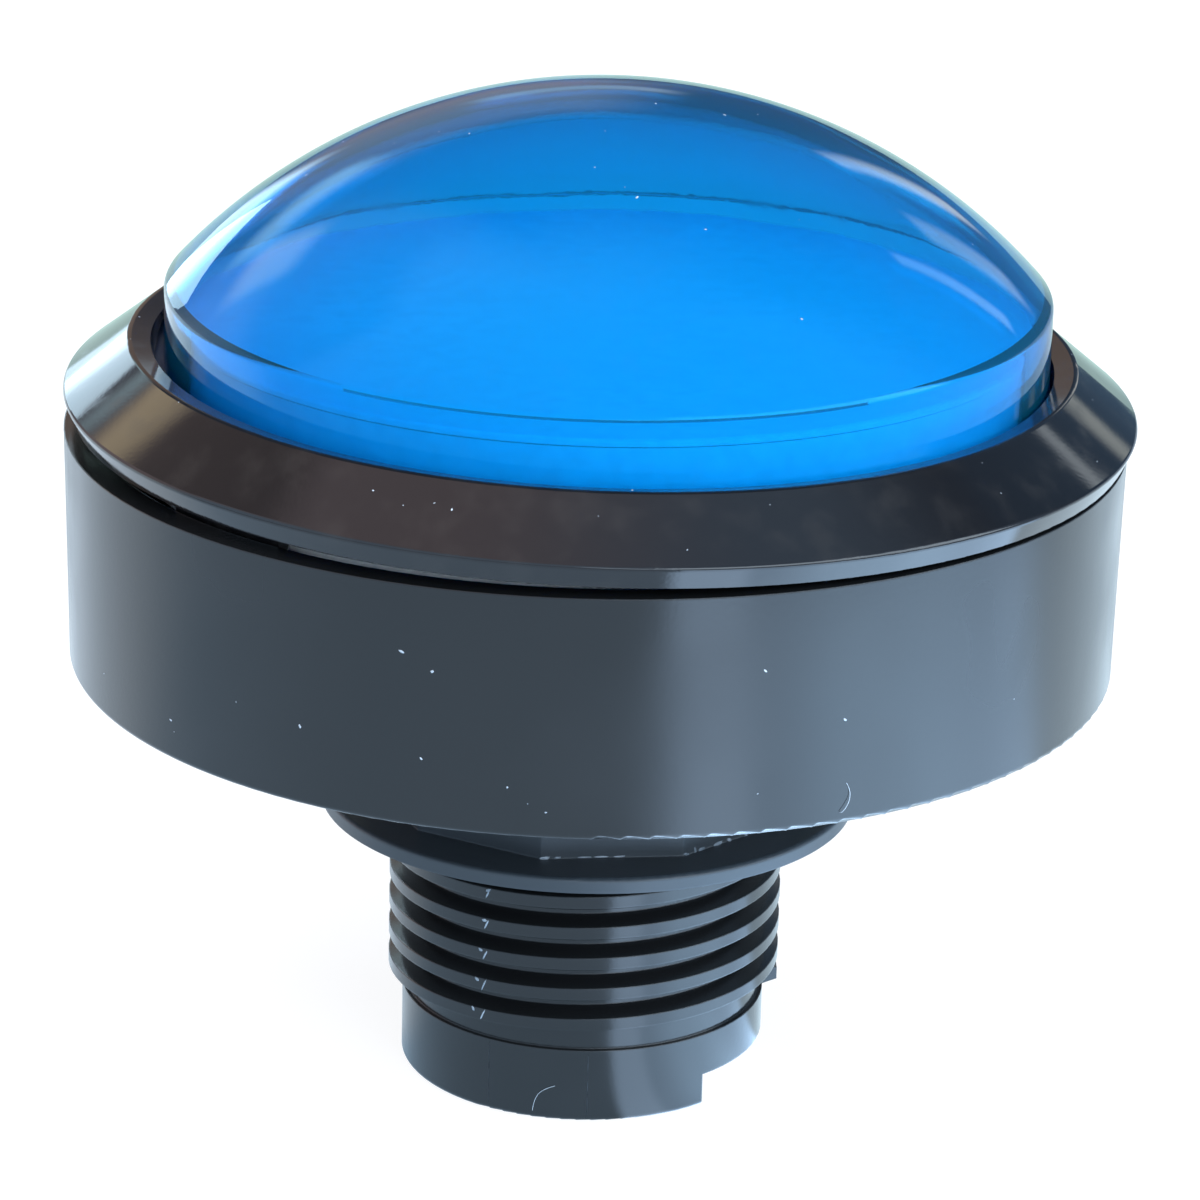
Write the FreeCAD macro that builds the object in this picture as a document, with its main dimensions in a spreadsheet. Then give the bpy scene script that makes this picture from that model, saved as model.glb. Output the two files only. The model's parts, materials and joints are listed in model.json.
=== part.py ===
import FreeCAD, Part
import math
import os
import re

import Sketcher
from FreeCAD import Placement, Rotation, Vector

# A panel-mount dome push button, used as a quiz buzzer. Millimetres.
# The origin is the centre of the housing's underside, which seats on the panel, and +Z points up
# through the dome. The threaded stem goes down through the panel and carries the nut.

SIZES = {
    # dome lens: a crown arc, a shoulder arc, a small corner and a straight skirt
    "dome_top": 33.3,
    "dome_crown_radius": 34.0,
    "dome_crown_reach": 14.0,
    "dome_shoulder_radius": 34.25,
    "dome_corner": 0.6,
    "dome_radius": 25.35,
    "dome_wall": 1.4,
    "dome_foot": 13.8,
    "dome_offset": 0.55,
    "bead_bottom": 14.6,
    "bead_depth": 0.4,
    "bead_width": 0.6,
    "bead_play": 0.1,
    "bead_relief": 0.5,
    # white parts under the dome
    "diffuser_radius": 23.85,
    "diffuser_top": 20.5,
    "diffuser_thick": 0.4,
    "diffuser_edge": 0.2,
    "plunger_radius": 23.75,
    "plunger_wall": 1.6,
    "plunger_plate": 1.2,
    "plunger_plate_top": 20.0,
    "plunger_foot": 12.2,
    "plunger_flange_radius": 27.1,
    "plunger_flange_thick": 1.3,
    "plunger_ribs": 6,
    "rib_thick": 1.0,
    "rib_drop": 3.2,
    "tube_radius": 6.6,
    "tube_bore": 5.2,
    "tube_foot": -4.0,
    "leg_foot": -7.5,
    "leg_mid_angle": 175.0,
    "leg_sweep": 46.0,
    # return spring
    "spring_radius": 10.4,
    "spring_wire": 0.9,
    "spring_pitch": 2.57,
    "spring_turns": 6.0,
    "spring_gap": 0.05,
    # bezel ring
    "bezel_radius": 30.85,
    "bezel_edge": 15.43,
    "bezel_lip_radius": 30.3,
    "bezel_lip_bottom": 14.18,
    "bezel_ridge_radius": 27.1,
    "bezel_ridge": 18.43,
    "bezel_bore": 25.87,
    "bezel_bore_top": 18.2,
    "bezel_sleeve": 1.1,
    "bezel_skin": 1.68,
    "bezel_lip_wide": 0.6,
    "bezel_lip_rise": 0.45,
    "bezel_ridge_round": 0.35,
    "bezel_edge_round": 0.25,
    "bezel_tilt": 0.95,
    "bezel_lift": 0.12,
    "bezel_offset": 0.22,
    "hook_count": 4,
    "hook_inner": 27.8,
    "hook_outer": 28.6,
    "hook_barb": 29.25,
    "hook_foot": 9.3,
    "hook_root_drop": 2.2,
    "hook_tip_inset": 0.1,
    "hook_lead": 0.6,
    "hook_land": 0.9,
    "hook_back": 1.1,
    "hook_angle": 45.0,
    "hook_sweep": 17.0,
    # housing cup
    "housing_top": 13.73,
    "housing_top_radius": 30.54,
    "housing_foot_radius": 30.31,
    "housing_inner": 28.9,
    "housing_floor": 2.2,
    "housing_edge": 0.35,
    "hook_groove_radius": 29.55,
    "hook_groove_bottom": 8.5,
    "hook_groove_top": 11.2,
    "hook_groove_slope": 0.3,
    "spring_seat_radius": 11.6,
    "spring_seat_wall": 0.9,
    "spring_seat_rise": 1.2,
    "guide_bore": 7.4,
    "guide_bottom": 0.3,
    # threaded stem
    "stem_bottom": -25.5,
    "stem_bore": 9.2,
    "stem_plain_radius": 10.75,
    "stem_edge": 0.3,
    "thread_radius": 11.6,
    "thread_root": 10.5,
    "thread_pitch": 1.9,
    "thread_crest": 0.72,
    "thread_flank_angle": 22.0,
    "thread_bottom": -21.0,
    "thread_turns": 9.75,
    "thread_start": 0.575,
    "pilot_height": 1.5,
    "notch_height": 1.95,
    "notch_start": -48.0,
    "notch_sweep": 66.0,
    "slot_radius": 10.05,
    "slot_bottom": -20.6,
    "slot_top": -18.7,
    "lug_sweep": 20.0,
    "slot_play": 2.0,
    "twist": 30.0,
    # nut
    "nut_top": -4.9,
    "nut_flange_top": -8.2,
    "nut_bottom": -9.45,
    "nut_flange_radius": 15.7,
    "nut_corner_radius": 13.2,
    "nut_corners": 10,
    "nut_turn": -28.9,
    "nut_bore": 11.75,
    "nut_flange_slope": 0.9,
    "nut_flange_lip": 0.35,
    "nut_flange_round": 0.25,
    # lamp and switch carrier
    "carrier_radius": 8.95,
    "carrier_wall": 0.75,
    "carrier_floor": 1.5,
    "carrier_bottom": -20.5,
    "carrier_rim": -10.6,
    "lug_radius": 9.85,
    "lug_bottom": -20.4,
    "lug_height": 1.5,
    "grip_long": 5.0,
    "grip_thick": 1.0,
    "grip_drop": 3.0,
    "grip_inset": 0.6,
    "tab_hole_play": 0.3,
    "lead_hole_play": 0.2,
    "wire_hole_play": 0.1,
    # snap switch
    "switch_long": 12.8,
    "switch_front": -0.9,
    "switch_deep": 5.1,
    "switch_tall": 6.5,
    "switch_wall": 0.8,
    "switch_floor": 1.0,
    "switch_gap": 0.1,
    "switch_cover_thick": 0.7,
    "tab_fit": 0.1,
    "switch_mid": 2.05,
    "button_at": 3.2,
    "button_radius": 0.8,
    "button_collar": 1.3,
    "button_collar_thick": 0.3,
    "button_collar_gap": 0.1,
    "button_foot_gap": 0.12,
    "button_head_gap": 0.33,
    "button_play": 0.06,
    "pivot_at": 5.4,
    "pivot_height": -11.5,
    "pin_radius": 0.4,
    "pin_play": 0.04,
    "lever_thick": 0.3,
    "lever_wide": 1.6,
    "ear_thick": 0.5,
    "ear_gap": 0.1,
    "ear_foot_half": 0.8,
    "ear_head_half": 0.6,
    "ear_over_pin": 0.7,
    "lever_reach": 11.24,
    "lever_angle": 19.5,
    "lever_barrel": 0.75,
    "lever_start": 0.5,
    "blade_pivot_at": -4.8,
    "blade_height": -15.6,
    "blade_thick": 0.15,
    "blade_wide": 1.8,
    "blade_end": 5.08,
    "blade_tail": 0.3,
    "contact_at": 4.6,
    "contact_radius": 0.45,
    "contact_drop": 0.35,
    "contact_rise": 0.3,
    "contact_travel": 1.0,
    "contact_gap": 0.03,
    "contact_face": 0.25,
    "rivet_play": 0.02,
    "tab_thick": 0.4,
    "tab_wide": 1.6,
    "tab_foot": -24.2,
    "closed_tab_at": 5.38,
    "open_tab_at": 0.0,
    # lamp
    "lamp_across": -4.2,
    "lamp_radius": 2.5,
    "lamp_flange": 2.9,
    "lamp_flange_thick": 1.0,
    "lamp_tall": 8.6,
    "lamp_lift": 0.05,
    "lamp_top_flat": 0.1,
    "lead_half": 0.25,
    "lead_at": 1.27,
    "lead_depth": 3.4,
    "cup_radius": 1.1,
    "cup_tall": 1.4,
    "resistor_at": 5.0,
    "resistor_across": -3.4,
    "resistor_radius": 0.85,
    "resistor_tall": 3.6,
    "resistor_lift": 0.6,
    "wire_radius": 0.25,
    "wire_top": 0.9,
    # how far an added shape sinks into its neighbour, and how far a cut runs past its surface
    "bite": 0.1,
    "overcut": 1.0,
}

doc = FreeCAD.newDocument("quiz_buzzer")
sheet = doc.addObject("Spreadsheet::Sheet", "Sizes")
for row, (alias, value) in enumerate(SIZES.items(), start=1):
    sheet.set(f"A{row}", str(value))
    sheet.setAlias(f"A{row}", alias)
doc.recompute()


def linked(text):
    """An expression in which each alias points at its cell."""
    return re.sub(r"[a-z_]+", lambda m: "Sizes." + m[0] if m[0] in SIZES else m[0], str(text))


def size(text):
    """The value of an expression, in millimetres or degrees."""
    return float(sheet.evalExpression(linked(text)))


# ---------------------------------------------------------------- building blocks


def new_body(label):
    body = doc.addObject("PartDesign::Body", label)
    body.Label = label
    return body


def origin_part(body, role):
    return next(part for part in body.Origin.OriginFeatures if part.Role == role)


def new_sketch(body, plane, height=0):
    """An empty sketch on one of the body's own planes, raised along its normal."""
    sketch = body.newObject("Sketcher::SketchObject", "Sketch")
    sketch.AttachmentSupport = [(origin_part(body, plane + "_Plane"), "")]
    sketch.MapMode = "FlatFace"
    sketch.setExpression("AttachmentOffset.Base.z", linked(height))
    return sketch


def bind(sketch, kind, *where, text):
    """A dimension of the sketch, held to an expression."""
    index = sketch.addConstraint(Sketcher.Constraint(kind, *where, size(text)))
    sketch.setExpression(f"Constraints[{index}]", linked(text))


def draw_outline(sketch, corners):
    """A closed outline of straight lines, each corner placed by two dimensions."""
    spots = [Vector(size(across), size(up), 0) for across, up in corners]
    first = sketch.GeometryCount
    for start, end in zip(spots, spots[1:] + spots[:1]):
        sketch.addGeometry(Part.LineSegment(start, end), False)
    last = sketch.GeometryCount - 1
    for line, (across, up) in enumerate(corners, start=first):
        following = first if line == last else line + 1
        sketch.addConstraint(Sketcher.Constraint("Coincident", line, 2, following, 1))
        bind(sketch, "DistanceX", -1, 1, line, 1, text=across)
        bind(sketch, "DistanceY", -1, 1, line, 1, text=up)


def draw_circle(sketch, across, up, radius):
    spot = Vector(size(across), size(up), 0)
    index = sketch.addGeometry(Part.Circle(spot, Vector(0, 0, 1), size(radius)), False)
    bind(sketch, "DistanceX", -1, 1, index, 3, text=across)
    bind(sketch, "DistanceY", -1, 1, index, 3, text=up)
    bind(sketch, "Radius", index, text=radius)


def rectangle(left, right, low, high):
    return [(left, low), (right, low), (right, high), (left, high)]


def changes_volume(body, feature, adds):
    """Recompute, and make sure that the feature really added or really cut."""
    before = feature.BaseFeature.Shape.Volume if feature.BaseFeature else 0.0
    doc.recompute()
    if feature.Shape.isNull():
        raise RuntimeError(f"{body.Label}: {feature.Name} made nothing: {feature.State}")
    change = feature.Shape.Volume - before
    if (change > 1e-4) != adds or abs(change) < 1e-4:
        raise RuntimeError(f"{body.Label}: {feature.Name} changed the volume by {change:.4f}")
    return feature


def extrude(body, corners=(), circles=(), bottom=0, height=1, cut=False):
    """A pad from bottom up, or a pocket over the same stretch."""
    level = f"{bottom} + ({height})" if cut else bottom
    sketch = new_sketch(body, "XY", level)
    if corners:
        draw_outline(sketch, corners)
    for circle in circles:
        draw_circle(sketch, *circle)
    feature = body.newObject("PartDesign::Pocket" if cut else "PartDesign::Pad", "Feature")
    feature.Profile = sketch
    feature.setExpression("Length", linked(height))
    return changes_volume(body, feature, adds=not cut)


def extrude_across(body, corners, middle, width, cut=False):
    """A pad or pocket of an outline in X and Z, centred on Y = middle."""
    sketch = new_sketch(body, "XZ", f"0 - ({middle})")
    draw_outline(sketch, corners)
    feature = body.newObject("PartDesign::Pocket" if cut else "PartDesign::Pad", "Feature")
    feature.Profile = sketch
    feature.Midplane = True
    feature.setExpression("Length", linked(width))
    return changes_volume(body, feature, adds=not cut)


def turn_sketch(body, sketch, sweep=360, cut=False):
    """A revolution or groove of a sketch about the body's own axis."""
    feature = body.newObject("PartDesign::Groove" if cut else "PartDesign::Revolution", "Feature")
    feature.Profile = sketch
    feature.ReferenceAxis = (origin_part(body, "Z_Axis"), [""])
    feature.setExpression("Angle", linked(sweep))
    feature.Midplane = size(sweep) < 360
    return changes_volume(body, feature, adds=not cut)


def revolve(body, corners, sweep=360, angle=0, cut=False):
    """Turn an outline in R and Z about the axis, with its middle at an angle from +X."""
    sketch = new_sketch(body, "XZ")
    sketch.AttachmentOffset = Placement(Vector(), Rotation(Vector(0, 1, 0), size(angle)))
    draw_outline(sketch, corners)
    return turn_sketch(body, sketch, sweep, cut)


def coil(body, sketch, pitch, height):
    """A right-hand helical sweep of a sketch, upward about the body's own axis."""
    feature = body.newObject("PartDesign::AdditiveHelix", "Coil")
    feature.Profile = sketch
    feature.ReferenceAxis = (sketch, ["V_Axis"])
    feature.Mode = "pitch-height-angle"
    feature.setExpression("Pitch", linked(pitch))
    feature.setExpression("Height", linked(height))
    return changes_volume(body, feature, adds=True)


def repeat_around(body, features, count):
    """Copies of the features about the body's axis."""
    pattern = body.newObject("PartDesign::PolarPattern", "Pattern")
    pattern.Originals = features
    pattern.Axis = (origin_part(body, "Z_Axis"), [""])
    pattern.Angle = 360
    pattern.setExpression("Occurrences", linked(count))
    body.Tip = pattern
    doc.recompute()
    return pattern


def circle_edges(shape, radius, height):
    """The names of the round edges of one radius about Z at one height."""
    names = []
    for index, edge in enumerate(shape.Edges, start=1):
        curve = edge.Curve
        if not isinstance(curve, Part.Circle) or abs(abs(curve.Axis.z) - 1) > 1e-6:
            continue
        if abs(curve.Radius - radius) < 1e-4 and abs(curve.Center.z - height) < 1e-4:
            names.append(f"Edge{index}")
    return names


def round_edge(body, radius, height, fillet):
    base = body.Tip
    feature = body.newObject("PartDesign::Fillet", "Fillet")
    feature.Base = (base, circle_edges(base.Shape, size(radius), size(height)))
    feature.setExpression("Radius", linked(fillet))
    doc.recompute()
    return feature


# ---------------------------------------------------------------- dome and plunger


def dome_lens():
    """Clear dome: two tangent arcs, a rounded corner and a skirt that snaps onto the plunger."""
    body = new_body("dome_lens")
    sketch = new_sketch(body, "XZ")
    wall = size("dome_wall")
    crown = size("dome_crown_radius")
    shoulder = size("dome_shoulder_radius")
    corner = size("dome_corner")
    skirt = size("dome_radius")
    foot = size("dome_foot")

    crown_centre = Vector(0, size("dome_top") - crown, 0)
    blend = math.acos(size("dome_crown_reach") / crown)
    ray = Vector(math.cos(blend), math.sin(blend), 0)
    shoulder_centre = crown_centre + ray * (crown - shoulder)
    corner_at = skirt - corner
    fall = math.acos((corner_at - shoulder_centre.x) / (shoulder - corner))
    corner_centre = Vector(corner_at, shoulder_centre.y + (shoulder - corner) * math.sin(fall), 0)
    inner_skirt = skirt - wall
    inner_fall = math.acos((inner_skirt - shoulder_centre.x) / (shoulder - wall))
    inner_top = shoulder_centre.y + (shoulder - wall) * math.sin(inner_fall)

    def arc(centre, radius, start, end):
        circle = Part.Circle(centre, Vector(0, 0, 1), radius)
        return sketch.addGeometry(Part.ArcOfCircle(circle, start, end), False)

    def line(start, end):
        return sketch.addGeometry(Part.LineSegment(Vector(*start, 0), Vector(*end, 0)), False)

    outer_crown = arc(crown_centre, crown, blend, math.pi / 2)
    outer_shoulder = arc(shoulder_centre, shoulder, fall, blend)
    outer_corner = arc(corner_centre, corner, 0, fall)
    outer_skirt = line((skirt, corner_centre.y), (skirt, foot))
    rim = line((skirt, foot), (inner_skirt, foot))
    inner_wall = line((inner_skirt, foot), (inner_skirt, inner_top))
    inner_shoulder = arc(shoulder_centre, shoulder - wall, inner_fall, blend)
    inner_crown = arc(crown_centre, crown - wall, blend, math.pi / 2)
    axis_line = line((0, size("dome_top") - wall), (0, size("dome_top")))

    def join(kind, *ends):
        sketch.addConstraint(Sketcher.Constraint(kind, *ends))

    join("Tangent", outer_crown, 1, outer_shoulder, 2)
    join("Tangent", outer_shoulder, 1, outer_corner, 2)
    join("Tangent", outer_corner, 1, outer_skirt, 1)
    join("Coincident", outer_skirt, 2, rim, 1)
    join("Coincident", rim, 2, inner_wall, 1)
    join("Coincident", inner_wall, 2, inner_shoulder, 1)
    join("Coincident", inner_crown, 3, outer_crown, 3)
    join("Tangent", inner_crown, 1, inner_shoulder, 2)
    join("Coincident", inner_crown, 2, axis_line, 1)
    join("Coincident", axis_line, 2, outer_crown, 2)
    for upright in (outer_skirt, inner_wall, axis_line):
        join("Vertical", upright)
    join("Horizontal", rim)
    join("PointOnObject", outer_crown, 3, -2)
    join("PointOnObject", outer_crown, 2, -2)
    bind(sketch, "DistanceY", -1, 1, outer_crown, 2, text="dome_top")
    bind(sketch, "DistanceX", -1, 1, outer_crown, 1, text="dome_crown_reach")
    bind(sketch, "DistanceX", -1, 1, outer_skirt, 2, text="dome_radius")
    bind(sketch, "DistanceY", -1, 1, outer_skirt, 2, text="dome_foot")
    bind(sketch, "DistanceX", -1, 1, inner_wall, 1, text="dome_radius - dome_wall")
    bind(sketch, "Radius", outer_crown, text="dome_crown_radius")
    bind(sketch, "Radius", outer_shoulder, text="dome_shoulder_radius")
    bind(sketch, "Radius", outer_corner, text="dome_corner")
    bind(sketch, "Radius", inner_crown, text="dome_crown_radius - dome_wall")
    inner_reach = "dome_crown_reach * (1 - dome_wall / dome_crown_radius)"
    bind(sketch, "DistanceX", -1, 1, inner_crown, 1, text=inner_reach)
    bind(sketch, "Radius", inner_shoulder, text="dome_shoulder_radius - dome_wall")
    turn_sketch(body, sketch)
    inner = "dome_radius - dome_wall"
    bead = f"{inner} - bead_depth"
    revolve(body, [
        (f"{inner} + bite", "bead_bottom - bead_depth"),
        (bead, "bead_bottom"),
        (bead, "bead_bottom + bead_width"),
        (f"{inner} + bite", "bead_bottom + bead_width + bead_depth"),
    ])
    return body


def diffuser_disc():
    """White disc that rests on the plunger and spreads the lamp's light."""
    body = new_body("diffuser_disc")
    extrude(
        body,
        circles=[(0, 0, "diffuser_radius")],
        bottom="diffuser_top - diffuser_thick",
        height="diffuser_thick",
    )
    round_edge(body, "diffuser_radius", "diffuser_top", "diffuser_edge")
    return body


def plunger():
    """White carrier of the dome: plate, wall with a stop flange, ribs, light tube and a leg."""
    body = new_body("plunger")
    wall_inner = "plunger_radius - plunger_wall"
    plate_bottom = "plunger_plate_top - plunger_plate"
    flange_top = "plunger_foot + plunger_flange_thick"
    groove = "plunger_radius - bead_depth - bead_play"
    revolve(body, [
        ("tube_bore", "tube_foot"),
        ("tube_radius", "tube_foot"),
        ("tube_radius", plate_bottom),
        (wall_inner, plate_bottom),
        (wall_inner, "plunger_foot"),
        ("plunger_flange_radius", "plunger_foot"),
        ("plunger_flange_radius", flange_top),
        ("plunger_radius", flange_top),
        ("plunger_radius", "bead_bottom - bead_relief"),
        (groove, "bead_bottom - bead_play"),
        (groove, "bead_bottom + bead_width + bead_play"),
        ("plunger_radius", "bead_bottom + bead_width + bead_relief"),
        ("plunger_radius", "plunger_plate_top"),
        ("tube_bore", "plunger_plate_top"),
    ])
    rib = extrude(
        body,
        corners=rectangle(
            "spring_seat_radius + spring_seat_wall",
            f"{wall_inner} + bite",
            "0 - rib_thick / 2",
            "rib_thick / 2",
        ),
        bottom=f"{plate_bottom} - rib_drop",
        height="rib_drop + bite",
    )
    repeat_around(body, [rib], "plunger_ribs")
    revolve(
        body,
        rectangle("tube_bore", "tube_radius", "leg_foot", "tube_foot + bite"),
        sweep="leg_sweep",
        angle="leg_mid_angle",
    )
    return body


def return_spring():
    """Open coil between the housing floor and the plunger plate."""
    body = new_body("return_spring")
    sketch = new_sketch(body, "XZ")
    start = "housing_floor + spring_gap + spring_wire / 2"
    draw_circle(sketch, "spring_radius", start, "spring_wire / 2")
    coil(body, sketch, "spring_pitch", "spring_pitch * spring_turns")
    return body


# ---------------------------------------------------------------- bezel, housing and nut


def bezel_ring():
    """Glossy conical ring with an inner sleeve and four snap hooks, seated with a slight tilt."""
    body = new_body("bezel_ring")
    sleeve_outer = "bezel_bore + bezel_sleeve"
    revolve(body, [
        ("bezel_lip_radius", "bezel_lip_bottom"),
        ("bezel_radius", "bezel_edge"),
        ("bezel_ridge_radius", "bezel_ridge"),
        ("bezel_bore", "bezel_bore_top"),
        ("bezel_bore", "bezel_lip_bottom"),
        (sleeve_outer, "bezel_lip_bottom"),
        (sleeve_outer, "bezel_ridge - bezel_skin"),
        ("bezel_lip_radius - bezel_lip_wide", "bezel_lip_bottom + bezel_lip_rise"),
        ("bezel_lip_radius - bezel_lip_wide", "bezel_lip_bottom"),
    ])
    round_edge(body, "bezel_ridge_radius", "bezel_ridge", "bezel_ridge_round")
    round_edge(body, "bezel_radius", "bezel_edge", "bezel_edge_round")
    hook = revolve(
        body,
        [
            ("hook_inner", "bezel_ridge - hook_root_drop"),
            ("hook_inner", "hook_foot"),
            ("hook_outer - hook_tip_inset", "hook_foot"),
            ("hook_barb", "hook_foot + hook_lead"),
            ("hook_barb", "hook_foot + hook_land"),
            ("hook_outer", "hook_foot + hook_back"),
            ("hook_outer", "bezel_ridge - hook_root_drop"),
        ],
        sweep="hook_sweep",
        angle="hook_angle",
    )
    repeat_around(body, [hook], "hook_count")
    return body


def housing():
    """Cup under the bezel, in one piece with the threaded stem."""
    body = new_body("housing")
    seat_outer = "spring_seat_radius + spring_seat_wall"
    seat_top = "housing_floor + spring_seat_rise"
    revolve(body, [
        ("stem_bore", "stem_bottom"),
        ("stem_plain_radius", "stem_bottom"),
        ("stem_plain_radius", "thread_bottom"),
        ("thread_root", "thread_bottom"),
        ("thread_root", "0 - pilot_height"),
        ("thread_radius", "0 - pilot_height"),
        ("thread_radius", 0),
        ("housing_foot_radius", 0),
        ("housing_top_radius", "housing_top"),
        ("housing_inner", "housing_top"),
        ("housing_inner", "hook_groove_top"),
        ("hook_groove_radius", "hook_groove_top - hook_groove_slope"),
        ("hook_groove_radius", "hook_groove_bottom + hook_groove_slope"),
        ("housing_inner", "hook_groove_bottom"),
        ("housing_inner", "housing_floor"),
        (seat_outer, "housing_floor"),
        (seat_outer, seat_top),
        ("spring_seat_radius", seat_top),
        ("spring_seat_radius", "housing_floor"),
        ("guide_bore", "housing_floor"),
        ("guide_bore", "guide_bottom"),
        ("stem_bore", "guide_bottom"),
    ])
    round_edge(body, "housing_foot_radius", 0, "housing_edge")
    round_edge(body, "stem_plain_radius", "stem_bottom", "stem_edge")

    thread = new_sketch(body, "XZ")
    flank = "(thread_radius - thread_root + bite) * tan(thread_flank_angle)"
    middle = "thread_bottom + thread_start"
    draw_outline(thread, [
        ("thread_root - bite", f"{middle} - thread_crest / 2 - {flank}"),
        ("thread_radius", f"{middle} - thread_crest / 2"),
        ("thread_radius", f"{middle} + thread_crest / 2"),
        ("thread_root - bite", f"{middle} + thread_crest / 2 + {flank}"),
    ])
    coil(body, thread, "thread_pitch", "thread_pitch * thread_turns")

    # a bayonet notch in the stem's foot
    revolve(
        body,
        rectangle(
            "stem_bore - overcut",
            "thread_radius + overcut",
            "stem_bottom - overcut",
            "stem_bottom + notch_height",
        ),
        sweep="notch_sweep",
        angle="notch_start + notch_sweep / 2",
        cut=True,
    )
    # two slots inside the stem: the way in from the foot, and the turn where a lug locks
    entry_sweep = "lug_sweep + slot_play"
    for side in (0, 180):
        revolve(
            body,
            rectangle("stem_bore - overcut", "slot_radius", "stem_bottom - overcut", "slot_top"),
            sweep=entry_sweep,
            angle=f"{side} + twist",
            cut=True,
        )
        revolve(
            body,
            rectangle("stem_bore - overcut", "slot_radius", "slot_bottom", "slot_top"),
            sweep=f"{entry_sweep} + twist",
            angle=f"{side} + twist / 2",
            cut=True,
        )
    return body


def mounting_nut():
    """Ten-sided nut with a flange at its lower end and a plain running bore."""
    body = new_body("mounting_nut")
    count = int(size("nut_corners"))
    corners = []
    for index in range(count):
        angle = f"(nut_turn + {index} * 360 / nut_corners)"
        corners.append((f"nut_corner_radius * cos({angle})", f"nut_corner_radius * sin({angle})"))
    extrude(
        body,
        corners=corners,
        bottom="nut_flange_top - bite",
        height="nut_top - nut_flange_top + bite",
    )
    revolve(body, [
        (0, "nut_bottom"),
        ("nut_flange_radius - nut_flange_slope", "nut_bottom"),
        ("nut_flange_radius", "nut_bottom + nut_flange_lip"),
        ("nut_flange_radius", "nut_flange_top"),
        (0, "nut_flange_top"),
    ])
    extrude(
        body,
        circles=[(0, 0, "nut_bore")],
        bottom="nut_bottom - overcut",
        height="nut_top - nut_bottom + 2 * overcut",
        cut=True,
    )
    round_edge(body, "nut_flange_radius", "nut_flange_top", "nut_flange_round")
    return body


# ---------------------------------------------------------------- carrier for lamp and switch


FLOOR_TOP = "(carrier_bottom + carrier_floor)"
SWITCH_BOTTOM = f"({FLOOR_TOP} + switch_gap)"
SWITCH_TOP = f"({SWITCH_BOTTOM} + switch_tall)"
SWITCH_BACK = "(switch_front + switch_deep)"
OPEN_TOP = "(blade_height - contact_drop - contact_travel)"
CLOSED_FOOT = "(blade_height + blade_thick + contact_rise + contact_gap)"


def switch_carrier():
    """Round tray that twists into the stem and holds the snap switch and the lamp."""
    body = new_body("switch_carrier")
    revolve(body, [
        (0, "carrier_bottom"),
        ("carrier_radius", "carrier_bottom"),
        ("carrier_radius", "carrier_rim"),
        ("carrier_radius - carrier_wall", "carrier_rim"),
        ("carrier_radius - carrier_wall", FLOOR_TOP),
        (0, FLOOR_TOP),
    ])
    lug = revolve(
        body,
        rectangle("carrier_radius - bite", "lug_radius", "lug_bottom", "lug_bottom + lug_height"),
        sweep="lug_sweep - slot_play",
    )
    repeat_around(body, [lug], 2)
    for side in (1, -1):
        edge = "(carrier_radius - grip_inset)"
        corners = rectangle(
            "0 - grip_long / 2",
            "grip_long / 2",
            f"{side} * {edge} - grip_thick / 2 * (1 + {side})",
            f"{side} * {edge} + grip_thick / 2 * (1 - {side})",
        )
        extrude(body, corners=corners, bottom="carrier_bottom - grip_drop", height="grip_drop + bite")
    slots = [
        (tab, "switch_mid", "tab_thick + tab_hole_play", "tab_wide + tab_hole_play")
        for tab in ("blade_pivot_at", "open_tab_at", "closed_tab_at")
    ]
    for across, along, wide, deep in slots:
        cut_slot(body, across, along, wide, deep)
    lead_hole = "2 * lead_half + lead_hole_play"
    for side in (1, -1):
        cut_slot(body, f"{side} * lead_at", "lamp_across", lead_hole, lead_hole)
    extrude(
        body,
        circles=[("resistor_at", "resistor_across", "wire_radius + wire_hole_play")],
        bottom="carrier_bottom - overcut",
        height="carrier_floor + 2 * overcut",
        cut=True,
    )
    return body


def cut_slot(
    body,
    across,
    along,
    wide,
    deep,
    bottom="carrier_bottom - overcut",
    height="carrier_floor + 2 * overcut",
):
    """A rectangular hole down through a floor, given by its middle and its two widths."""
    corners = rectangle(
        f"{across} - ({wide}) / 2",
        f"{across} + ({wide}) / 2",
        f"{along} - ({deep}) / 2",
        f"{along} + ({deep}) / 2",
    )
    extrude(body, corners=corners, bottom=bottom, height=height, cut=True)


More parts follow.
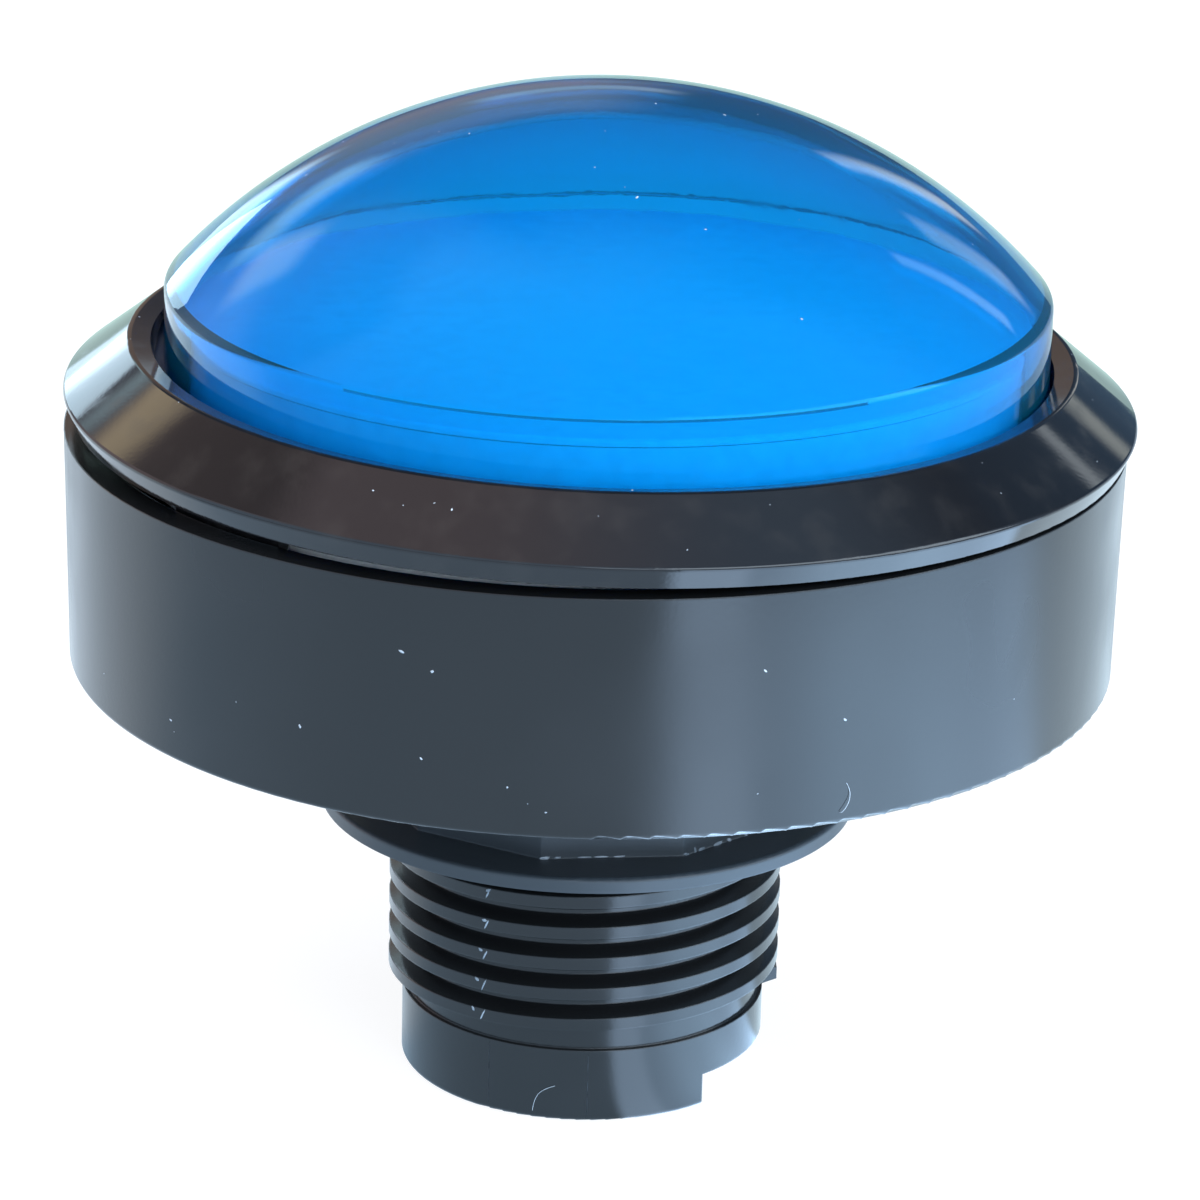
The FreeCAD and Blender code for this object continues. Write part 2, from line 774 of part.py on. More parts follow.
def switch_case():
    """Case of the snap switch, open at the back, with two ears for the lever's pin."""
    body = new_body("switch_case")
    half = "switch_long / 2"
    extrude(
        body,
        corners=rectangle(f"0 - {half}", half, "switch_front", f"{SWITCH_BACK} - switch_cover_thick"),
        bottom=SWITCH_BOTTOM,
        height="switch_tall",
    )
    extrude(
        body,
        corners=rectangle(
            f"0 - {half} + switch_wall",
            f"{half} - switch_wall",
            "switch_front + switch_wall",
            f"{SWITCH_BACK} + overcut",
        ),
        bottom=f"{SWITCH_BOTTOM} + switch_floor",
        height="switch_tall - switch_floor - switch_wall",
        cut=True,
    )
    for tab in ("blade_pivot_at", "open_tab_at", "closed_tab_at"):
        cut_slot(
            body, tab, "switch_mid", "tab_thick + tab_fit", "tab_wide + tab_fit",
            bottom=f"{SWITCH_BOTTOM} - overcut", height="switch_floor + 2 * overcut",
        )
    extrude(
        body,
        circles=[("button_at", "switch_mid", "button_radius + button_play")],
        bottom=f"{SWITCH_TOP} - switch_wall - bite",
        height="switch_wall + overcut",
        cut=True,
    )
    for side in (1, -1):
        extrude_across(
            body,
            [
                ("pivot_at - ear_foot_half", f"{SWITCH_TOP} - bite"),
                ("pivot_at + ear_foot_half", f"{SWITCH_TOP} - bite"),
                ("pivot_at + ear_head_half", "pivot_height + ear_over_pin"),
                ("pivot_at - ear_head_half", "pivot_height + ear_over_pin"),
            ],
            f"switch_mid + {side} * (lever_wide / 2 + ear_gap + ear_thick / 2)",
            "ear_thick",
        )
    bore_across(body, "pivot_at", "pivot_height", "pin_radius + pin_play / 2")
    return body


def bore_across(body, across, height, radius):
    """A round hole through the whole body along Y."""
    sketch = new_sketch(body, "XZ")
    draw_circle(sketch, across, height, radius)
    feature = body.newObject("PartDesign::Pocket", "Bore")
    feature.Profile = sketch
    feature.Midplane = True
    feature.setExpression("Length", linked("4 * switch_long"))
    changes_volume(body, feature, adds=False)


def switch_cover():
    body = new_body("switch_cover")
    extrude(
        body,
        corners=rectangle(
            "0 - switch_long / 2",
            "switch_long / 2",
            f"{SWITCH_BACK} - switch_cover_thick",
            SWITCH_BACK,
        ),
        bottom=SWITCH_BOTTOM,
        height="switch_tall",
    )
    return body


def switch_button():
    """Pin that the lever pushes, with a collar that keeps it in the case."""
    body = new_body("switch_button")
    rise = "lever_angle"
    lever_under = f"(pivot_height + (pivot_at - button_at) * tan({rise}) - lever_thick / 2 / cos({rise}))"
    foot = "blade_height + blade_thick + button_foot_gap"
    collar_top = f"{SWITCH_TOP} - switch_wall - button_collar_gap"
    extrude(
        body,
        circles=[("button_at", "switch_mid", "button_radius")],
        bottom=foot,
        height=f"{lever_under} - button_head_gap - ({foot})",
    )
    extrude(
        body,
        circles=[("button_at", "switch_mid", "button_collar")],
        bottom=f"{collar_top} - button_collar_thick",
        height="button_collar_thick",
    )
    return body


def switch_lever():
    """Spring-steel lever: a straight strip with a barrel rolled round the pin."""
    body = new_body("switch_lever")
    along = "cos(lever_angle)"
    up = "sin(lever_angle)"
    half = "lever_thick / 2"

    def on_strip(reach, offset):
        return (
            f"pivot_at - ({reach}) * {along} - ({offset}) * {up}",
            f"pivot_height + ({reach}) * {up} - ({offset}) * {along}",
        )

    strip = [
        on_strip("lever_start", half),
        on_strip("lever_start", f"0 - {half}"),
        on_strip("lever_reach", f"0 - {half}"),
        on_strip("lever_reach", half),
    ]
    extrude_across(body, strip, "switch_mid", "lever_wide")
    sketch = new_sketch(body, "XZ", "0 - switch_mid")
    draw_circle(sketch, "pivot_at", "pivot_height", "lever_barrel")
    barrel = body.newObject("PartDesign::Pad", "Barrel")
    barrel.Profile = sketch
    barrel.Midplane = True
    barrel.setExpression("Length", linked("lever_wide"))
    changes_volume(body, barrel, adds=True)
    bore_across(body, "pivot_at", "pivot_height", "pin_radius + pin_play")
    return body


def lever_pin():
    body = doc.addObject("Part::Cylinder", "lever_pin")
    body.Label = "lever_pin"
    length = "lever_wide + 2 * ear_gap + 2 * ear_thick"
    body.setExpression("Radius", linked("pin_radius"))
    body.setExpression("Height", linked(length))
    body.Placement = Placement(
        Vector(size("pivot_at"), size(f"switch_mid + ({length}) / 2"), size("pivot_height")),
        Rotation(Vector(1, 0, 0), 90),
    )
    return body


def contact_blade():
    """Moving blade of the switch, from its fulcrum to the contact."""
    body = new_body("contact_blade")
    extrude(
        body,
        corners=rectangle(
            "blade_pivot_at - blade_tail",
            "blade_end",
            "switch_mid - blade_wide / 2",
            "switch_mid + blade_wide / 2",
        ),
        bottom="blade_height",
        height="blade_thick",
    )
    extrude(
        body,
        circles=[("contact_at", "switch_mid", "contact_radius + rivet_play")],
        bottom="blade_height - overcut",
        height="blade_thick + 2 * overcut",
        cut=True,
    )
    return body


def moving_contact():
    """Silver rivet through the blade, with a face on each side."""
    body = new_body("moving_contact")
    extrude(
        body,
        circles=[("contact_at", "switch_mid", "contact_radius")],
        bottom="blade_height - contact_drop",
        height="contact_drop + blade_thick + contact_rise",
    )
    return body


def terminal(label, at, top, arm=None):
    """A flat tab up through the floor, with an arm to its contact where it has one."""
    body = new_body(label)
    extrude(
        body,
        corners=rectangle(
            f"{at} - tab_thick / 2",
            f"{at} + tab_thick / 2",
            "switch_mid - tab_wide / 2",
            "switch_mid + tab_wide / 2",
        ),
        bottom="tab_foot",
        height=f"{top} - tab_foot",
    )
    if arm:
        left, right = arm
        extrude(
            body,
            corners=rectangle(left, right, "switch_mid - tab_wide / 2", "switch_mid + tab_wide / 2"),
            bottom=f"{top} - tab_thick",
            height="tab_thick",
        )
    return body


def common_terminal():
    return terminal("common_terminal", "blade_pivot_at", "(blade_height - contact_gap)")


def open_terminal():
    arm = ("open_tab_at - tab_thick / 2", "contact_at + contact_radius")
    return terminal("open_terminal", "open_tab_at", f"({OPEN_TOP} - contact_face)", arm)


def closed_terminal():
    arm = ("contact_at - contact_radius", "closed_tab_at + tab_thick / 2")
    return terminal("closed_terminal", "closed_tab_at", f"({CLOSED_FOOT} + contact_face + tab_thick)", arm)


def fixed_contacts():
    """The two fixed silver contacts, one above and one below the moving one."""
    discs = []
    for name, bottom in (("OpenContact", f"{OPEN_TOP} - contact_face"), ("ClosedContact", CLOSED_FOOT)):
        disc = doc.addObject("Part::Cylinder", name)
        disc.setExpression("Radius", linked("contact_radius"))
        disc.setExpression("Height", linked("contact_face"))
        disc.Placement = Placement(
            Vector(size("contact_at"), size("switch_mid"), size(bottom)),
            Rotation(),
        )
        discs.append(disc)
    pair = doc.addObject("Part::Compound", "fixed_contacts")
    pair.Label = "fixed_contacts"
    pair.Links = discs
    doc.recompute()
    return pair


def lamp_body():
    """Moulded lamp: a flange, a round body and a domed top, with holes for the leads."""
    body = new_body("lamp_body")
    spot = (0, "lamp_across")
    foot = f"{FLOOR_TOP} + lamp_lift"
    extrude(body, circles=[(*spot, "lamp_flange")], bottom=foot, height="lamp_flange_thick")
    extrude(body, circles=[(*spot, "lamp_radius")], bottom=foot, height="lamp_tall")
    round_edge(body, "lamp_radius", f"{foot} + lamp_tall", "lamp_radius - lamp_top_flat")
    for side in (1, -1):
        cut_slot(
            body, f"{side} * lead_at", "lamp_across", "2 * lead_half", "2 * lead_half",
            bottom=f"{FLOOR_TOP} - overcut", height="lead_depth + overcut",
        )
    extrude(
        body,
        circles=[("0 - lead_at", "lamp_across", "cup_radius")],
        bottom=f"{FLOOR_TOP} + lead_depth",
        height="cup_tall",
        cut=True,
    )
    return body


def lamp_lead(label, side, top):
    body = new_body(label)
    extrude(
        body,
        corners=rectangle(
            f"{side} * lead_at - lead_half",
            f"{side} * lead_at + lead_half",
            "lamp_across - lead_half",
            "lamp_across + lead_half",
        ),
        bottom="tab_foot",
        height=f"{top} - tab_foot",
    )
    return body


def lamp_cup_lead():
    """Lead that carries the reflector cup and the chip."""
    body = lamp_lead("lamp_cup_lead", -1, f"({FLOOR_TOP} + lead_depth)")
    extrude(
        body,
        circles=[("0 - lead_at", "lamp_across", "cup_radius")],
        bottom=f"{FLOOR_TOP} + lead_depth",
        height="cup_tall",
    )
    return body


def lamp_post_lead():
    return lamp_lead("lamp_post_lead", 1, f"({FLOOR_TOP} + lead_depth)")


def lamp_resistor():
    """Series resistor beside the lamp, with its lower wire through the floor."""
    body = new_body("lamp_resistor")
    spot = ("resistor_at", "resistor_across")
    extrude(
        body,
        circles=[(*spot, "resistor_radius")],
        bottom=f"{FLOOR_TOP} + resistor_lift",
        height="resistor_tall",
    )
    extrude(
        body,
        circles=[(*spot, "wire_radius")],
        bottom="tab_foot",
        height=f"{FLOOR_TOP} + resistor_lift + resistor_tall + wire_top - tab_foot",
    )
    return body


# ---------------------------------------------------------------- placing, testing, writing


def shift_with_dome(body):
    """The dome and the white parts sit a little to one side, within the play of their guide."""
    body.setExpression("Placement.Base.x", linked("dome_offset"))


def tilt_bezel(body):
    """The bezel is snapped home on its +X side and stands proud on its -X side."""
    turn = Rotation(Vector(0, 1, 0), size("bezel_tilt"))
    seat = Vector(size("bezel_offset"), 0, size("bezel_lift"))
    body.Placement = Placement(seat, turn, Vector(0, 0, size("bezel_lip_bottom")))


moving = [dome_lens(), diffuser_disc(), plunger()]
for piece in moving:
    shift_with_dome(piece)
bezel = bezel_ring()
tilt_bezel(bezel)
fixed = [housing(), return_spring(), mounting_nut()]
carried = [
    switch_carrier(),
    switch_case(),
    switch_cover(),
    switch_button(),
    switch_lever(),
    lever_pin(),
    contact_blade(),
    moving_contact(),
    common_terminal(),
    open_terminal(),
    closed_terminal(),
    fixed_contacts(),
    lamp_body(),
    lamp_cup_lead(),
    lamp_post_lead(),
    lamp_resistor(),
]
nodes = [*moving, bezel, *fixed, *carried]
doc.recompute()

for thing in doc.Objects:
    if "Invalid" in thing.State or "Error" in thing.State:
        raise RuntimeError(f"{thing.Label} failed: {thing.State}")
for node in nodes:
    if node.Shape.isNull() or not node.Shape.isValid():
        raise RuntimeError(f"{node.Label} has no valid shape")

os.makedirs("parts", exist_ok=True)
for node in nodes:
    node.Shape.exportStep(f"parts/{node.Label}.step")
    box = node.Shape.BoundBox
    print(
        f"{node.Label:18s} {node.Shape.Volume:9.2f} mm3  solids {len(node.Shape.Solids)}  "
        f"z {box.ZMin:7.2f} {box.ZMax:7.2f}"
    )
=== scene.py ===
"""Looks of a panel-mount dome button: clear blue lens, black bezel, housing, stem and nut."""

import json
import math
import random

import bmesh
import bpy
from mathutils import Matrix, Quaternion, Vector
from mathutils.bvhtree import BVHTree

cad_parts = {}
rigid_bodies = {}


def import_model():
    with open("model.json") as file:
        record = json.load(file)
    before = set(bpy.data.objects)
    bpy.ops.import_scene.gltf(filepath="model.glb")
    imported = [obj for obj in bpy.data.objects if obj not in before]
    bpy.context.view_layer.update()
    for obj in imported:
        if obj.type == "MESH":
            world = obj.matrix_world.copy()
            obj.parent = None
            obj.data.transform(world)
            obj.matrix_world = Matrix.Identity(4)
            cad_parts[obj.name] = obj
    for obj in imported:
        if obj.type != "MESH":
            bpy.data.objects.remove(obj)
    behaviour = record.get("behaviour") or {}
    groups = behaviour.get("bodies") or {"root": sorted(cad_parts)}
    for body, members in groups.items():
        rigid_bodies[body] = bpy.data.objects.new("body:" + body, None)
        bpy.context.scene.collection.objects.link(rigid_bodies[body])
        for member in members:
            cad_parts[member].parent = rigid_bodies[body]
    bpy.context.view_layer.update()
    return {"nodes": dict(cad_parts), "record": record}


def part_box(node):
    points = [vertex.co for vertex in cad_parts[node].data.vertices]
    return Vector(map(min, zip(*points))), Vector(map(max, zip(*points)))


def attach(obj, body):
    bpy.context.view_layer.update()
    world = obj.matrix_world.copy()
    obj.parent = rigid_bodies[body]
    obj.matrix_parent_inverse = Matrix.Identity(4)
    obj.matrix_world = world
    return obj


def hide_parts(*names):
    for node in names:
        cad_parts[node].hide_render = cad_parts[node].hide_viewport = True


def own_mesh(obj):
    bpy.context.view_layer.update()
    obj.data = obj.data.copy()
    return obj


for stray in list(bpy.data.objects):
    bpy.data.objects.remove(stray)
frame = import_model()
MM = 0.001
scene = bpy.context.scene


# ---------------------------------------------------------------- material helpers


class Recipe:
    """A node material under construction."""

    def __init__(self, name):
        self.material = bpy.data.materials.new(name)
        self.material.use_nodes = True
        self.tree = self.material.node_tree
        self.tree.nodes.clear()
        self.output = self.tree.nodes.new("ShaderNodeOutputMaterial")
        self.place = self.node("ShaderNodeTexCoord").outputs["Object"]

    def node(self, kind, settings=None, **inputs):
        """A new node. Inputs are given by name, with spaces as underscores."""
        made = self.tree.nodes.new(kind)
        for key, value in (settings or {}).items():
            setattr(made, key, value)
        for key, value in inputs.items():
            self.feed(made, key.replace("_", " "), value)
        return made

    def feed(self, node, name, value):
        socket = node.inputs[int(name)] if name.isdigit() else node.inputs[name]
        if isinstance(value, bpy.types.NodeSocket):
            self.tree.links.new(value, socket)
        else:
            socket.default_value = value

    def noise(self, scale, detail=3.0, rough=0.5, vector=None, distortion=0.0):
        """Noise with a scale in features per metre."""
        made = self.node(
            "ShaderNodeTexNoise",
            Scale=scale,
            Detail=detail,
            Roughness=rough,
            Distortion=distortion,
            Vector=vector or self.place,
        )
        return made.outputs["Fac"]

    def ramp(self, source, low, high, start=0.0, end=1.0):
        """Maps source from low..high to start..end, smoothly and clamped."""
        made = self.node(
            "ShaderNodeMapRange",
            {"interpolation_type": "SMOOTHSTEP"},
            Value=source,
            From_Min=low,
            From_Max=high,
            To_Min=start,
            To_Max=end,
        )
        return made.outputs[0]

    def math(self, operation, first, second=0.0):
        made = self.node("ShaderNodeMath", {"operation": operation})
        self.feed(made, "0", first)
        self.feed(made, "1", second)
        return made.outputs[0]

    def mix(self, share, first, second):
        """A colour between first and second."""
        made = self.node("ShaderNodeMix", {"data_type": "RGBA"})
        for key, value in ((0, share), (6, first), (7, second)):
            if isinstance(value, bpy.types.NodeSocket):
                self.tree.links.new(value, made.inputs[key])
            elif key == 0:
                made.inputs[key].default_value = value
            else:
                made.inputs[key].default_value = (*value, 1.0)
        return made.outputs[2]

    def bump(self, height, distance, strength=1.0, normal=None):
        made = self.node("ShaderNodeBump", Height=height, Distance=distance, Strength=strength)
        if normal is not None:
            self.feed(made, "Normal", normal)
        return made.outputs[0]

    def either(self, share, first, second):
        """A shader that is first where share is 0 and second where it is 1."""
        made = self.node("ShaderNodeMixShader")
        self.feed(made, "0", share)
        self.tree.links.new(first.outputs[0], made.inputs[1])
        self.tree.links.new(second.outputs[0], made.inputs[2])
        return made

    def principled(self, **inputs):
        return self.node("ShaderNodeBsdfPrincipled", **inputs)

    def finish(self, shader):
        self.tree.links.new(shader.outputs[0], self.output.inputs["Surface"])
        return self.material


def lens_material():
    """Clear blue plastic whose colour deepens with its thickness."""
    recipe = Recipe("blue_clear_lens")
    wave = recipe.noise(90, detail=1.0)
    fine = recipe.noise(1600, detail=1.0)
    smear = recipe.ramp(recipe.noise(240, detail=4.0, distortion=1.2), 0.5, 0.8)
    normal = recipe.bump(fine, 0.0000008, normal=recipe.bump(wave, 0.00008))
    glass = recipe.principled(
        Base_Color=recipe.mix(smear, (0.03, 0.80, 1.0), (0.05, 0.77, 0.97)),
        Roughness=recipe.math("MULTIPLY_ADD", smear, 0.07),
        IOR=1.49,
        Specular_IOR_Level=0.3,
        Specular_Tint=(0.08, 0.7, 1.0, 1.0),
        Transmission_Weight=0.96,
        Normal=normal,
    )
    roughness = glass.inputs["Roughness"].links[0].from_node
    roughness.inputs[2].default_value = 0.015
    clear = recipe.node("ShaderNodeBsdfTransparent", Color=(1, 1, 1, 1))
    path = recipe.node("ShaderNodeLightPath")
    both = recipe.either(path.outputs["Is Shadow Ray"], glass, clear)
    depth = recipe.node("ShaderNodeVolumeAbsorption", Color=(0.0, 0.80, 0.95, 1.0), Density=1500.0)
    recipe.tree.links.new(depth.outputs[0], recipe.output.inputs["Volume"])
    return recipe.finish(both)


def white_material():
    """White moulded plastic with a fine mottle."""
    recipe = Recipe("white_moulded")
    mottle = recipe.noise(900, detail=5.0)
    cloud = recipe.noise(70, detail=3.0)
    colour = recipe.mix(recipe.ramp(cloud, 0.3, 0.7), (0.84, 0.86, 0.88), (0.92, 0.93, 0.94))
    colour = recipe.mix(recipe.ramp(mottle, 0.35, 0.75), colour, (0.80, 0.83, 0.86))
    shader = recipe.principled(
        Base_Color=colour,
        Roughness=recipe.ramp(mottle, 0.2, 0.8, 0.38, 0.55),
        Normal=recipe.bump(mottle, 0.00002),
    )
    return recipe.finish(shader)


def gloss_material():
    """Glossy black plastic with slight waviness, dust haze and hairline scratches."""
    recipe = Recipe("black_gloss_moulded")
    wave = recipe.noise(75, detail=1.5)
    haze = recipe.ramp(recipe.noise(420, detail=5.0), 0.45, 0.8)
    normal = recipe.bump(wave, 0.00010)
    normal = recipe.bump(recipe.noise(5200, detail=2.0), 0.0000022, normal=normal)
    shader = recipe.principled(
        Base_Color=recipe.mix(haze, (0.006, 0.006, 0.007), (0.014, 0.013, 0.013)),
        Roughness=recipe.ramp(haze, 0.0, 1.0, 0.07, 0.17),
        IOR=1.5,
        Normal=normal,
    )
    return recipe.finish(shader)


def satin_material(name, colour, worn, rough):
    """Satin black plastic with moulding grain and faint finger marks."""
    recipe = Recipe(name)
    grain = recipe.noise(3800, detail=3.0)
    cloud = recipe.ramp(recipe.noise(60, detail=3.0), 0.42, 0.68)
    stretched = recipe.node("ShaderNodeVectorMath", {"operation": "MULTIPLY"})
    recipe.feed(stretched, "0", recipe.place)
    recipe.feed(stretched, "1", (1.0, 1.0, 0.45))
    warp = recipe.noise(150, detail=2.0, vector=stretched.outputs[0])
    rings = recipe.node(
        "ShaderNodeTexWave",
        {"wave_type": "RINGS", "rings_direction": "SPHERICAL"},
        Vector=stretched.outputs[0],
        Scale=280.0,
        Distortion=9.0,
        Detail=1.0,
        Detail_Scale=0.35,
    )
    marks = recipe.math("MULTIPLY", rings.outputs["Fac"], recipe.ramp(warp, 0.5, 0.7))
    bevel = recipe.node("ShaderNodeBevel", {"samples": 6}, Radius=0.00014)
    normal = recipe.bump(grain, 0.000004, normal=bevel.outputs[0])
    normal = recipe.bump(marks, 0.0000015, normal=normal)
    roughness = recipe.math("MULTIPLY_ADD", cloud, 0.10)
    roughness.node.inputs[2].default_value = rough
    shader = recipe.principled(
        Base_Color=recipe.mix(cloud, colour, worn),
        Roughness=recipe.math("ADD", roughness, recipe.math("MULTIPLY", marks, 0.05)),
        IOR=1.5,
        Normal=normal,
    )
    return recipe.finish(shader)


def metal_material(name, dark, light, rough):
    """Bare metal with fine drawn lines and a little tarnish."""
    recipe = Recipe(name)
    lines = recipe.noise(2400, detail=4.0)
    tarnish = recipe.noise(260, detail=3.0)
    shader = recipe.principled(
        Base_Color=recipe.mix(recipe.ramp(tarnish, 0.35, 0.7), dark, light),
        Roughness=recipe.ramp(lines, 0.2, 0.8, rough, rough + 0.16),
        Metallic=1.0,
        Normal=recipe.bump(lines, 0.000004),
    )
    return recipe.finish(shader)


def plain_plastic(name, dark, light, rough):
    """Moulded plastic of one hue with slight mottling and grain."""
    recipe = Recipe(name)
    cloud = recipe.noise(380, detail=4.0)
    grain = recipe.noise(5200, detail=3.0)
    shader = recipe.principled(
        Base_Color=recipe.mix(recipe.ramp(cloud, 0.3, 0.7), dark, light),
        Roughness=recipe.ramp(grain, 0.2, 0.8, rough, rough + 0.14),
        Normal=recipe.bump(grain, 0.000008),
    )
    return recipe.finish(shader)


def resin_material():
    """Milky clear resin of the lamp."""
    recipe = Recipe("lamp_resin_clear")
    cloud = recipe.noise(700, detail=3.0)
    shader = recipe.principled(
        Base_Color=recipe.mix(
            recipe.ramp(cloud, 0.3, 0.7), (0.93, 0.95, 0.97), (0.86, 0.90, 0.94)
        ),
        Roughness=recipe.ramp(cloud, 0.2, 0.8, 0.06, 0.22),
        Transmission_Weight=0.75,
        IOR=1.5,
    )
    return recipe.finish(shader)


# Each band's place along the body, as a share of its length, and its colour.
RESISTOR_BANDS = (
    (0.22, (0.20, 0.07, 0.02)),
    (0.38, (0.01, 0.01, 0.012)),
    (0.54, (0.45, 0.03, 0.02)),
    (0.78, (0.5, 0.33, 0.08)),
)
RESISTOR_BAND_HALF = 0.045
RESISTOR_BODY = 3.6 * MM


def resistor_material(low, high):
    """Lacquered body with four colour bands round it."""
    recipe = Recipe("resistor_lacquer")
    height = recipe.node("ShaderNodeSeparateXYZ", Vector=recipe.place).outputs["Z"]
    cloud = recipe.noise(900, detail=3.0)
    colour = recipe.mix(recipe.ramp(cloud, 0.3, 0.7), (0.55, 0.40, 0.22), (0.62, 0.47, 0.28))
    for share, tint in RESISTOR_BANDS:
        middle = low + (high - low) * share
        off = recipe.math("ABSOLUTE", recipe.math("SUBTRACT", height, middle))
        inside = recipe.math("LESS_THAN", off, (high - low) * RESISTOR_BAND_HALF)
        colour = recipe.mix(inside, colour, tint)
    roughness = recipe.ramp(cloud, 0.2, 0.8, 0.25, 0.4)
    shader = recipe.principled(Base_Color=colour, Roughness=roughness)
    return recipe.finish(shader)


# ---------------------------------------------------------------- mesh helpers


def lathe(name, outline, segments=240, closed=True):
    """A ring of the outline, in (radius, height) in metres, turned about the Z axis."""
    mesh = bpy.data.meshes.new(name)
    made = bmesh.new()
    columns = []
    for step in range(segments):
        turn = 2 * math.pi * step / segments
        column = []
        for radius, height in outline:
            if radius < 1e-9:
                column.append(None)
            else:
                spot = (radius * math.cos(turn), radius * math.sin(turn), height)
                column.append(made.verts.new(spot))
        columns.append(column)
    tips = {
        index: made.verts.new((0, 0, height))
        for index, (radius, height) in enumerate(outline)
        if radius < 1e-9
    }
    count = len(outline) if closed else len(outline) - 1
    for step in range(segments):
        here, there = columns[step], columns[(step + 1) % segments]
        for row in range(count):
            after = (row + 1) % len(outline)
            if row in tips and after in tips:
                continue
            corners = []
            for index, column in ((row, here), (row, there), (after, there), (after, here)):
                vert = tips.get(index) or column[index]
                if vert not in corners:
                    corners.append(vert)
            made.faces.new(corners)
    bmesh.ops.recalc_face_normals(made, faces=made.faces)
    made.to_mesh(mesh)
    made.free()
    mesh.shade_smooth()
    mesh.set_sharp_from_angle(angle=math.radians(35))
    piece = bpy.data.objects.new(name, mesh)
    scene.collection.objects.link(piece)
    return piece


def arc(centre, radius, start, end, steps):
    """Points of a circular arc in (radius, height), both ends included. Angles in radians."""
    points = []
    for step in range(steps + 1):
        turn = start + (end - start) * step / steps
        points.append((centre[0] + radius * math.cos(turn), centre[1] + radius * math.sin(turn)))
    return points


def dress(piece, material):
    piece.data.materials.clear()
    piece.data.materials.append(material)
    return piece


# ---------------------------------------------------------------- lens

lens_low, lens_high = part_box("dome_lens")
LENS_TOP = lens_high.z
LENS_FOOT = lens_low.z
LENS_RADIUS = (lens_high.x - lens_low.x) / 2
LENS_SHIFT = (lens_high.x + lens_low.x) / 2
LENS_WALL = 1.4 * MM
CROWN = 34.0 * MM
CROWN_REACH = 14.0 * MM
SHOULDER = 34.25 * MM
CORNER = 0.6 * MM
RIM = 0.25 * MM


def lens_outline():
    """The same two tangent arcs, corner and skirt as the design, finely divided."""
    crown_mid = (0.0, LENS_TOP - CROWN)
    blend = math.acos(CROWN_REACH / CROWN)
    shoulder_mid = (
        (CROWN - SHOULDER) * math.cos(blend),
        crown_mid[1] + (CROWN - SHOULDER) * math.sin(blend),
    )
    corner_x = LENS_RADIUS - CORNER
    fall = math.acos((corner_x - shoulder_mid[0]) / (SHOULDER - CORNER))
    corner_mid = (corner_x, shoulder_mid[1] + (SHOULDER - CORNER) * math.sin(fall))
    inner = LENS_RADIUS - LENS_WALL
    inner_fall = math.acos((inner - shoulder_mid[0]) / (SHOULDER - LENS_WALL))
    points = arc(crown_mid, CROWN, math.pi / 2, blend, 40)
    points[0] = (0.0, points[0][1])
    points += arc(shoulder_mid, SHOULDER, blend, fall, 40)[1:]
    points += arc(corner_mid, CORNER, fall, 0, 12)[1:]
    for share in (0.25, 0.5, 0.75):
        points.append((LENS_RADIUS, corner_mid[1] + (LENS_FOOT + RIM - corner_mid[1]) * share))
    points += arc((LENS_RADIUS - RIM, LENS_FOOT + RIM), RIM, 0, -math.pi / 2, 4)
    points += arc((inner + RIM, LENS_FOOT + RIM), RIM, -math.pi / 2, -math.pi, 4)
    low = (inner, LENS_FOOT + RIM)
    high = arc(shoulder_mid, SHOULDER - LENS_WALL, inner_fall, blend, 40)
    for share in (0.25, 0.5, 0.75, 1.0):
        points.append((inner, low[1] + (high[0][1] - low[1]) * share))
    points += high[1:]
    points += arc(crown_mid, CROWN - LENS_WALL, blend, math.pi / 2, 40)[1:]
    points[-1] = (0.0, points[-1][1])
    return points


lens = lathe("lens_shell", lens_outline(), segments=288, closed=False)
for vert in lens.data.vertices:
    vert.co.x += LENS_SHIFT
dress(lens, lens_material())
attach(lens, "plunger")
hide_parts("dome_lens")


# ---------------------------------------------------------------- materials of the design's nodes

white = white_material()
gloss = gloss_material()
satin = satin_material("black_satin_moulded", (0.006, 0.0065, 0.007), (0.009, 0.010, 0.011), 0.17)
# A lighter, bluish copy of the satin black, used for the nut and the stem's parting lines. This is
# painted light: its raised colour stands in for the floor's reflection that the nut misses in the
# housing's shade.
satin_painted_lighter = satin_material("black_satin_painted_lighter", (0.024, 0.031, 0.038), (0.034, 0.042, 0.052), 0.40)
steel = metal_material("spring_steel_bright", (0.42, 0.42, 0.44), (0.58, 0.58, 0.60), 0.2)
brass = metal_material("contact_brass_rolled", (0.62, 0.42, 0.16), (0.78, 0.56, 0.26), 0.22)
silver = metal_material("contact_silver_plain", (0.68, 0.68, 0.68), (0.82, 0.82, 0.82), 0.18)
switch_black = plain_plastic(
    "switch_case_moulded", (0.016, 0.016, 0.018), (0.026, 0.026, 0.029), 0.42
)
red = plain_plastic("red_button_moulded", (0.42, 0.015, 0.012), (0.55, 0.03, 0.02), 0.3)
resistor_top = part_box("lamp_resistor")[1].z
resistor = resistor_material(resistor_top - RESISTOR_BODY, resistor_top)
FINISH = {
    "white_plastic": white,
    "black_gloss_plastic": gloss,
    "black_satin_plastic": satin,
    "spring_steel": steel,
    "switch_plastic": switch_black,
    "red_plastic": red,
    "contact_brass": brass,
    "contact_silver": silver,
    "lamp_resin": resin_material(),
    "resistor_coat": resistor,
    "blue_clear_plastic": lens.data.materials[0],
}
for row in frame["record"]["subparts"]:
    dress(frame["nodes"][row["node"]], FINISH[row["material_slot"]])
# The nut takes the lighter copy of the satin black in place of its own finish, as painted light.
dress(frame["nodes"]["mounting_nut"], satin_painted_lighter)


# ---------------------------------------------------------------- return spring

SPRING_WIRE = 0.45 * MM
SPRING_TURNS = 6.0
SPRING_STEPS_PER_TURN = 72
SPRING_SIDES = 14


